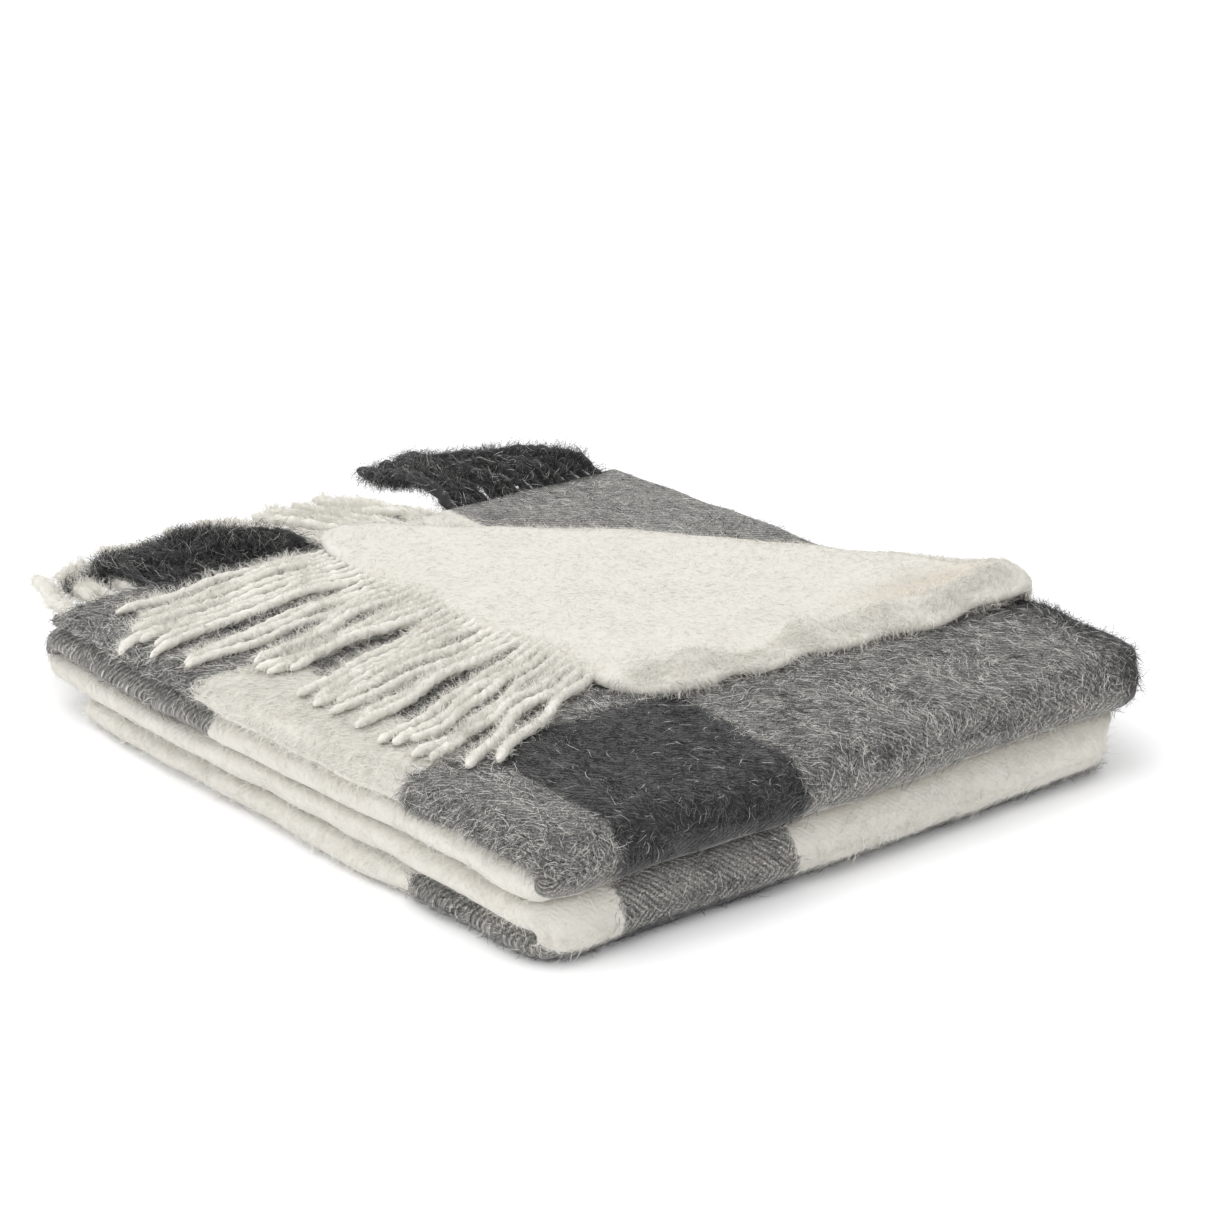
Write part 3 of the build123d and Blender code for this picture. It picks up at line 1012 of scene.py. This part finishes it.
def surface_samples(o, count, r, keep):
    """Random places on a piece, with their normals and checks. keep weighs its faces."""
    mesh = o.data
    weight = mesh_values(mesh.polygons, "area")
    normal = mesh_values(mesh.polygons, "normal", 3)
    if keep is not None:
        weight = weight * keep(mesh_values(mesh.polygons, "center", 3) / MM + CORNER, normal)
    chosen = r.choice(len(weight), size=count, p=weight / weight.sum())
    co = mesh_values(mesh.vertices, "co", 3)
    rings = [list(polygon.vertices) for polygon in mesh.polygons]
    corners = np.array([ring[:3] for ring in rings])[chosen]
    other = np.array([ring[-1] for ring in rings])[chosen]
    u, v = r.random(count), r.random(count)
    flip = u + v > 1
    u, v = np.where(flip, 1 - u, u), np.where(flip, 1 - v, v)
    second = r.random(count) < 0.5
    a, c = co[corners[:, 0]], co[corners[:, 2]]
    b = np.where(second[:, None], co[corners[:, 1]], co[other])
    p = a + u[:, None] * (b - a) + v[:, None] * (c - a)
    stripes = None
    if "stripes" in mesh.attributes:
        stripes = mesh_values(mesh.attributes["stripes"].data, "vector", 3)[corners].mean(1)[:, :2]
    return p / MM + CORNER, normal[chosen], stripes


def fibres(name, batches, seed):
    """Bent ribbons, three lengths each, standing off the cloth. Each batch is (points, normals,
    colour index, length, lift)."""
    r = np.random.default_rng(seed)
    points, quads, tris, index = [], [], [], []
    offset = 0
    for p, normal, colour, length, lift in batches:
        n = len(p)
        sweep = ripple(p * np.array([1, 1, 1.5]), 46, 77) * 1.1 + r.normal(0, 0.75, n)
        flat = np.abs(normal[:, 2]) > 0.85
        reference = np.where(flat[:, None], [0.0, 1.0, 0.0], [0.0, 0.0, 1.0])
        side = unit(np.cross(normal, reference))
        front = np.cross(side, normal)
        heading = np.cos(sweep)[:, None] * side + np.sin(sweep)[:, None] * front
        turn = r.normal(0, 0.45, n)
        rise = np.abs(r.normal(0, 1.0, n)) * lift + 0.05
        long = length * r.uniform(0.55, 1.35, n)
        w = FIBRE_WIDTH * r.uniform(0.7, 1.3, n)
        roll = r.uniform(-0.9, 0.9, n)
        at = p - normal * FIBRE_SINK
        ring = [at]
        direction = unit(heading + normal * rise[:, None])
        directions = [direction]
        for k in range(3):
            at = at + direction * (long / 3)[:, None]
            ring.append(at)
            sideways = np.cross(normal, direction)
            direction = direction + sideways * turn[:, None] - normal * (rise * 0.55 * (k + 0.4))[:, None]
            direction = unit(direction)
            directions.append(direction)
        across = []
        for d in directions:
            a = unit(np.cross(d, normal))
            a = a * np.cos(roll)[:, None] + normal * np.sin(roll)[:, None]
            across.append(a * (w / 2)[:, None])
        widths = ((0, 1.0), (1, 1.0), (2, 0.8))
        block = [ring[k] + across[k] * side_of for k, wide in widths for side_of in (-wide, wide)]
        block = np.stack([*block, ring[3]], axis=1)
        base = offset + np.arange(n)[:, None] * 7
        quads += [base + np.array([[0, 1, 3, 2]]), base + np.array([[2, 3, 5, 4]])]
        tris.append(base + np.array([[4, 5, 6]]))
        index.append(colour)
        points.append(block.reshape(-1, 3))
        offset += n * 7
    points = place(np.vstack(points))
    past_left = np.minimum(points[:, 0] - FIBRE_LEFT, 0)
    points[:, 0] = np.maximum(points[:, 0], FIBRE_LEFT + 0.1 * past_left)
    points[:, 2] = np.maximum(points[:, 2], FIBRE_FLOOR)
    # each fibre is two quads and a tip: the quads of all batches come first, then the tips
    quads, tris = np.vstack(quads), np.vstack(tris)
    colours = np.concatenate([*(c for c in index for _ in range(2)), *index])
    mesh = bpy.data.meshes.new(name)
    mesh.vertices.add(len(points))
    mesh.vertices.foreach_set("co", points.astype(np.float32).ravel())
    loops = np.concatenate([quads.ravel(), tris.ravel()])
    mesh.loops.add(len(loops))
    mesh.loops.foreach_set("vertex_index", loops.astype(np.int32))
    starts = np.concatenate([np.arange(len(quads)) * 4, len(quads) * 4 + np.arange(len(tris)) * 3])
    mesh.polygons.add(len(starts))
    mesh.polygons.foreach_set("loop_start", starts.astype(np.int32))
    mesh.polygons.foreach_set("material_index", colours.astype(np.int32))
    mesh.polygons.foreach_set("use_smooth", np.ones(len(starts), bool))
    mesh.update(calc_edges=True)
    mesh.validate()
    for m in fibre_materials:
        mesh.materials.append(m)
    return link(name, mesh)


def fibre_colours(stripes, r, painted_shade):
    n = len(stripes)
    dark = sum((stripes[:, k] + r.normal(0, 1.2, n) > 0).astype(int) for k in range(2))
    pick = r.random(n)
    white = np.where(pick < 0.8, WHITE, CREAM)
    # painted shade: a panel lying in shadow takes fewer white and more dark fibres in its grey checks
    grey = np.where(pick < 0.25 - painted_shade, WHITE, np.where(pick < 0.72 - painted_shade, MID, DARK))
    black = np.where(pick < 0.02, WHITE, np.where(pick < 0.30, MID, DARK))
    return np.where(dark == 0, white, np.where(dark == 1, grey, black))


DENSITY = 1.0
fibre_rng = np.random.default_rng(5)


def nap_for(o, count, length, lift, keep=None, painted_shade=0.0):
    """One batch of fibres on a piece, in its own colours, darkened with painted shade where asked."""
    count = int(count * DENSITY)
    p, normal, stripes = surface_samples(o, count, fibre_rng, keep)
    if stripes is not None:
        colour = fibre_colours(stripes, fibre_rng, painted_shade)
    else:
        pick = fibre_rng.random(count)
        if o.data.materials[0] is dark_yarn:
            colour = np.where(pick < 0.05, WHITE, np.where(pick < 0.4, MID, DARK))
        else:
            colour = np.where(pick < 0.8, WHITE, CREAM)
    return (p, normal, colour, length, lift)


def top_face(p, normal):
    """The upper cloth's shown faces, thinly under the turned corner and beneath."""
    covered = inside_polygon(p[:, :2], flap_boundary) & (edge_distance(p[:, :2], flap_boundary) > 8)
    return np.where(normal[:, 2] < -0.3, 0.02, 1.0) * np.where(covered, 0.15, 1.0)


def near_flap_rim(p, normal):
    return np.where(run_distance(p[:, :2], selvage_edge) < 12, 1.0, 0.05)


def shown_edge(low, front_axis, back_axis):
    """For a panel under others: its outer rolls and noses, and thinly its faces."""

    def weight(p, normal):
        x, y, z = p.T
        middle = low + HALF_PANEL
        share = np.full(len(p), HIDDEN)
        share[np.abs(z - middle) > HALF_PANEL - 2.0] = 0.14
        left = (x < LEFT_ROLL - 3) & (np.hypot(LEFT_ROLL - x, z - middle) > 5)
        share[left | (x > WIDTH - 6)] = 1.0
        skin = NOSE - 2.6
        if front_axis is not None:
            share[(y < NOSE) & (np.hypot(NOSE - y, z - front_axis) > skin)] = 1.0
        if back_axis is not None:
            share[(y > DEPTH - NOSE) & (np.hypot(y - DEPTH + NOSE, z - back_axis) > skin)] = 1.0
        return share

    return weight


def under_face(p, normal):
    """The top panel's lower plies: behind the crease and at the two sides."""
    x = p[:, 0]
    behind = ((p[:, :2] - CREASE_LEFT) @ ACROSS > -6) & (normal[:, 2] > 0.3) & (p[:, 2] > TOP_MIDDLE - 2)
    return np.where(behind | (x < 6) | (x > WIDTH - 6), 1.0, HIDDEN)


def rim_only(p, normal):
    """The stack's outer edges, where stray fibres stand off the outline."""
    x, y = p[:, 0], p[:, 1]
    edge = (x < 12) | (x > WIDTH - 12) | (y < 16) | (y > DEPTH - 16)
    return np.where(edge & (np.abs(normal[:, 2]) < 0.97), 1.0, HIDDEN)


# per body: piece, number of fibres at full density, length, lift, where they grow, and for the two lowest
# panels how much painted shade darkens their grey fibres
NAPS = {
    "top": (
        (top_cloth, 7000, 8.0, 0.8, rim_only),
        (top_cloth, 90000, 7.5, 0.16, top_face),
        (under, 34000, 7.0, 0.16, under_face),
        (crease_roll, 4000, 6.0, 0.2, lambda p, normal: p[:, 2] < BEND_FROM),
        (top_fringe_light, 5000, 7.0, 0.8),
        (top_fringe_dark, 24000, 8.5, 0.8),
        (under_fringe_light, 16000, 7.0, 0.8),
        (under_fringe_dark, 22000, 8.5, 0.8),
    ),
    "corner": (
        (flap_cloth, 22000, 4.4, 0.09, lambda p, normal: np.where(normal[:, 2] < -0.2, 0.12, 1.0)),
        (crease_roll, 7000, 5.0, 0.25, lambda p, normal: p[:, 2] > BEND_TO - 1),
        (flap_cloth, 9000, 7.5, 0.7, near_flap_rim),
        (corner_fringe, 52000, 6.0, 0.75),
    ),
    "bottom": (
        (bottom, 34000, 7.0, 0.2, shown_edge(0, PANEL, None), 0.15),
        (bottom, 3000, 8.0, 0.7, rim_only),
        (bottom_fringe_light, 5000, 4.5, 0.3),
        (bottom_fringe_dark, 2600, 4.5, 0.3),
    ),
    "second": (
        (second, 42000, 7.0, 0.2, shown_edge(PANEL, PANEL, MIDDLE), 0.15),
        (second, 3000, 8.0, 0.7, rim_only),
    ),
    "third": (
        (third, 40000, 7.0, 0.2, shown_edge(MIDDLE, 3 * PANEL, MIDDLE)),
        (third, 3000, 8.0, 0.7, rim_only),
    ),
}
naps = {
    body: fibres(f"{body}_nap", [nap_for(*batch) for batch in batches], seed)
    for seed, (body, batches) in enumerate(NAPS.items(), 1)
}


# ---- which body each piece moves with, and what it stands for
def stand_for(o, body, node_name):
    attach(o, body)
    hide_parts(node_name)


stand_for(bottom, "bottom", "bottom_panel")
stand_for(second, "second", "second_panel")
stand_for(third, "third", "third_panel")
stand_for(under, "top", "top_panel_under_plies")
stand_for(top_cloth, "top", "top_plies")
stand_for(flap_cloth, "corner", "turned_corner")
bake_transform(crease_roll)
for o, body, yarn in (
    (corner_fringe, "corner", "light_yarn"),
    (top_fringe_light, "top", "light_yarn"),
    (top_fringe_dark, "top", "dark_yarn"),
    (under_fringe_light, "top", "light_yarn"),
    (under_fringe_dark, "top", "dark_yarn"),
    (bottom_fringe_light, "bottom", "light_yarn"),
    (bottom_fringe_dark, "bottom", "dark_yarn"),
):
    stand_for(o, body, o.name.removesuffix("_strands"))
for body, o in naps.items():
    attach(o, body)

# ---- floor, light and camera
floor_material = bpy.data.materials.new("pale_floor")
floor_material.use_nodes = True
floor_shader = floor_material.node_tree.nodes["Principled BSDF"]
floor_shader.inputs["Base Color"].default_value = (0.96, 0.96, 0.965, 1)
floor_shader.inputs["Roughness"].default_value = 1.0
floor_shader.inputs["Specular IOR Level"].default_value = 0.0
floor_mesh = bpy.data.meshes.new("floor")
FLOOR_REACH, FLOOR_Z = 14.0, -0.0004
floor_mesh.from_pydata(
    [(sx * FLOOR_REACH, sy * FLOOR_REACH, FLOOR_Z) for sx, sy in ((-1, -1), (1, -1), (1, 1), (-1, 1))],
    [],
    [(0, 1, 2, 3)],
)
floor_mesh.materials.append(floor_material)
link("floor", floor_mesh)


def softbox(name, at, towards, size, power):
    light = bpy.data.lights.new(name, "AREA")
    light.shape = "RECTANGLE"
    light.size, light.size_y = size
    light.energy = power
    o = link(name, light)
    o.location = at
    o.rotation_euler = (Vector(towards) - Vector(at)).to_track_quat("-Z", "Y").to_euler()


softbox("overhead_softbox", (-0.3, 0.5, 1.9), (0, 0, 0), (1.8, 1.6), 16.5)
softbox("left_softbox", (-1.9, -0.3, 1.0), (0, 0, 0.02), (1.2, 1.2), 12.5)
softbox("front_fill", (0.9, -2.2, 1.2), (0, 0, 0.02), (1.4, 1.0), 6)

world = bpy.data.worlds.new("studio")
world.use_nodes = True
background = world.node_tree.nodes["Background"]
background.inputs[0].default_value = (1, 1, 1, 1)
background.inputs[1].default_value = 0.93
bpy.context.scene.world = world
bpy.context.scene.view_settings.view_transform = "Standard"

camera_data = bpy.data.cameras.new("photo_camera")
camera_data.sensor_width = 36.0
camera_data.lens = 103.88
camera = link("photo_camera", camera_data)
camera.location = (-0.9426, -1.1998, 0.6523)
bearing, pitch = math.radians(38.688), math.radians(21.093)
level = math.cos(pitch)
forward = Vector((math.sin(bearing) * level, math.cos(bearing) * level, -math.sin(pitch)))
camera.rotation_euler = forward.to_track_quat("-Z", "Y").to_euler()
bpy.context.scene.camera = camera
